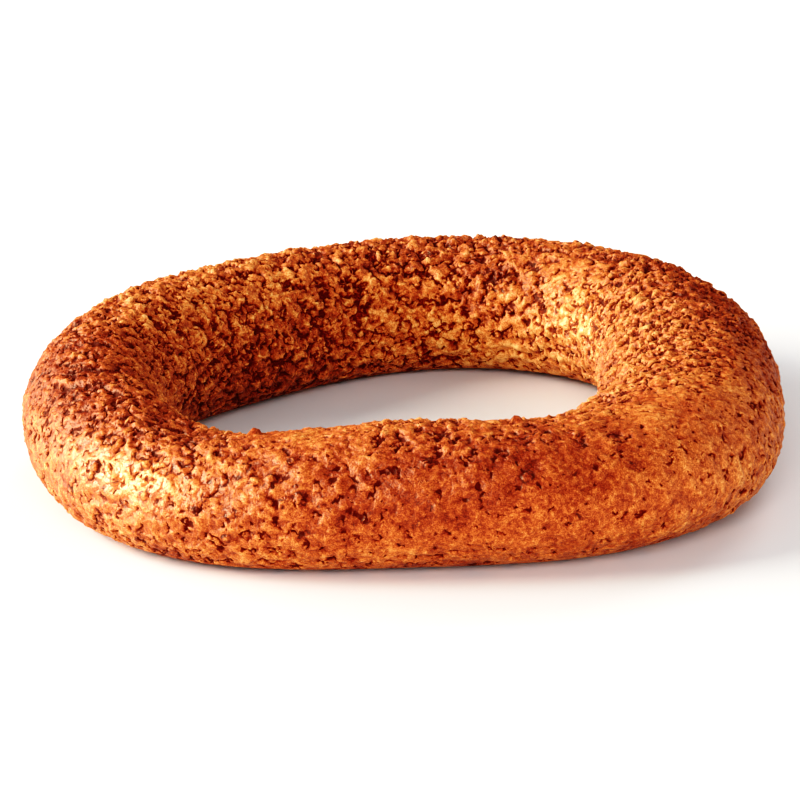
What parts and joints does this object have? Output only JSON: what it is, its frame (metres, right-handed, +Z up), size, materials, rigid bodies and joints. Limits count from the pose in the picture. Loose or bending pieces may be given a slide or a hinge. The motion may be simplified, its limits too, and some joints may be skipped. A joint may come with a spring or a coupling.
{
  "type": "simit bread ring",
  "caption": "Round hand-rolled ring of bread with a browned, blistered crust and an uneven open middle, resting flat on its pressed underside.",
  "frame": {"origin": "centre of the bread's footprint, on the surface that it rests on", "axes": "+Z up, out of the ring's plane; -Y towards the side with the smoother crust; +X towards the thick stretch where the dough's ends join"},
  "size_m": [0.1666, 0.1668, 0.033],
  "materials": {
    "crust": null
  },
  "bodies": {
    "root": {"bread_ring": "crust"}
  },
  "joints": []
}
